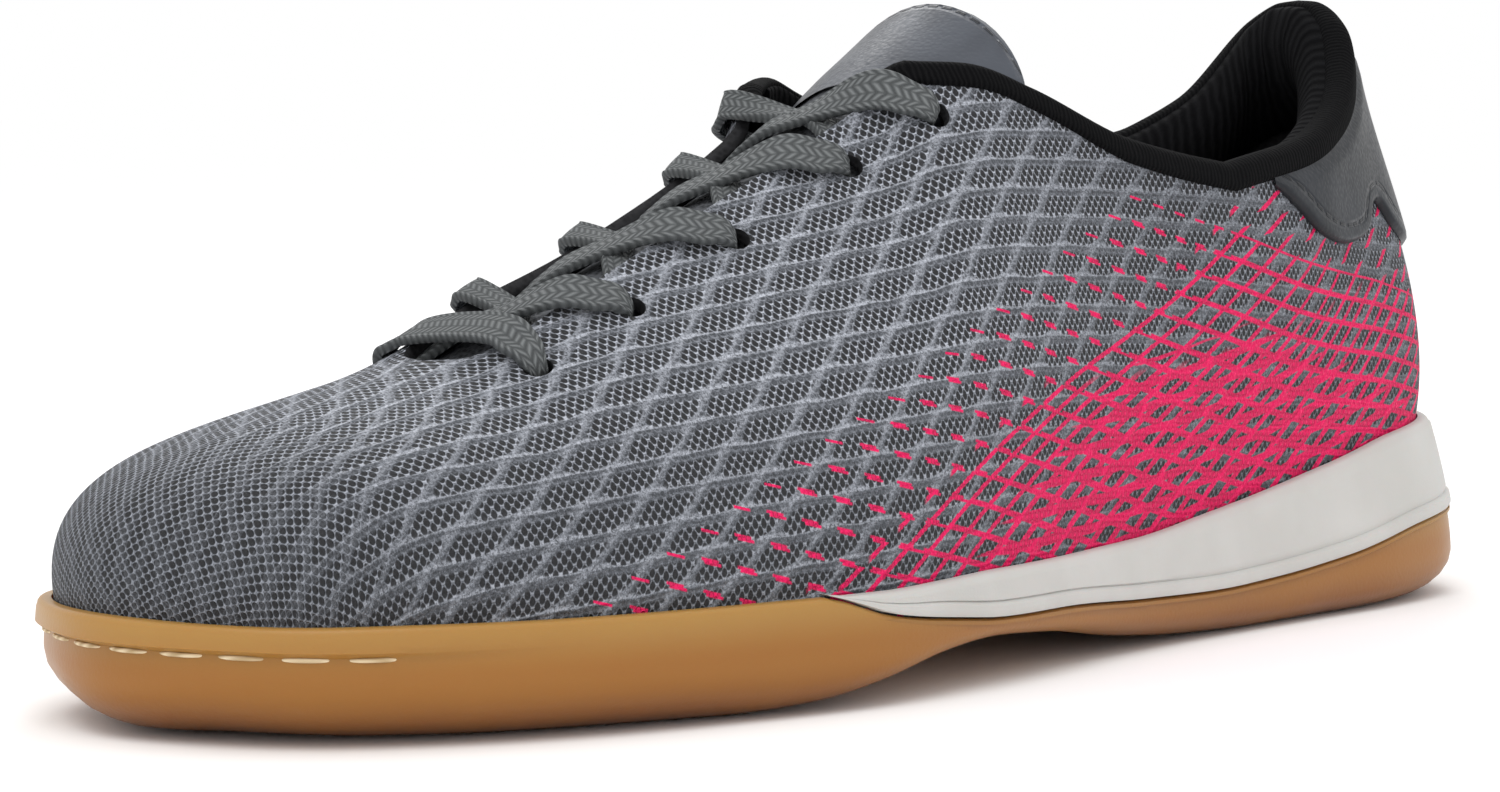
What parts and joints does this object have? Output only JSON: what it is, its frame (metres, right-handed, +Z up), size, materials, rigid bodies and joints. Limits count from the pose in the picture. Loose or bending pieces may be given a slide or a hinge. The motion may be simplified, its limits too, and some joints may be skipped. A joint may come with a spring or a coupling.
{
  "type": "indoor soccer shoe",
  "caption": "Low laced indoor soccer shoe for the left foot, with a flat gum rubber sole, a foam heel wedge, a hollow mesh upper, a padded collar and a tall tongue",
  "frame": {"origin": "middle of the sole's outline, on the floor", "axes": "toe to -X, heel to +X, outer side of the shoe to -Y, inner side to +Y, up is +Z"},
  "size_m": [0.2872, 0.1032, 0.1053],
  "materials": {
    "gum_rubber": "smooth gum rubber, slightly glossy",
    "white_foam": "matte moulded foam",
    "mesh": "knitted mesh with raised cells and a printed line net",
    "lining": "ribbed knit",
    "tongue": "padded, smooth synthetic top with a stitched hem",
    "tab": "smooth synthetic with a satin sheen",
    "lace": "flat braid"
  },
  "bodies": {
    "root": {"outsole": "gum_rubber", "midsole": "white_foam", "upper": "mesh", "insole": "lining", "tongue": "tongue", "collar": "lining", "heel_tab": "tab", "lace_bar": "lace", "lace_crossing_1": "lace", "lace_crossing_2": "lace", "lace_crossing_3": "lace", "lace_crossing_4": "lace"}
  },
  "joints": []
}
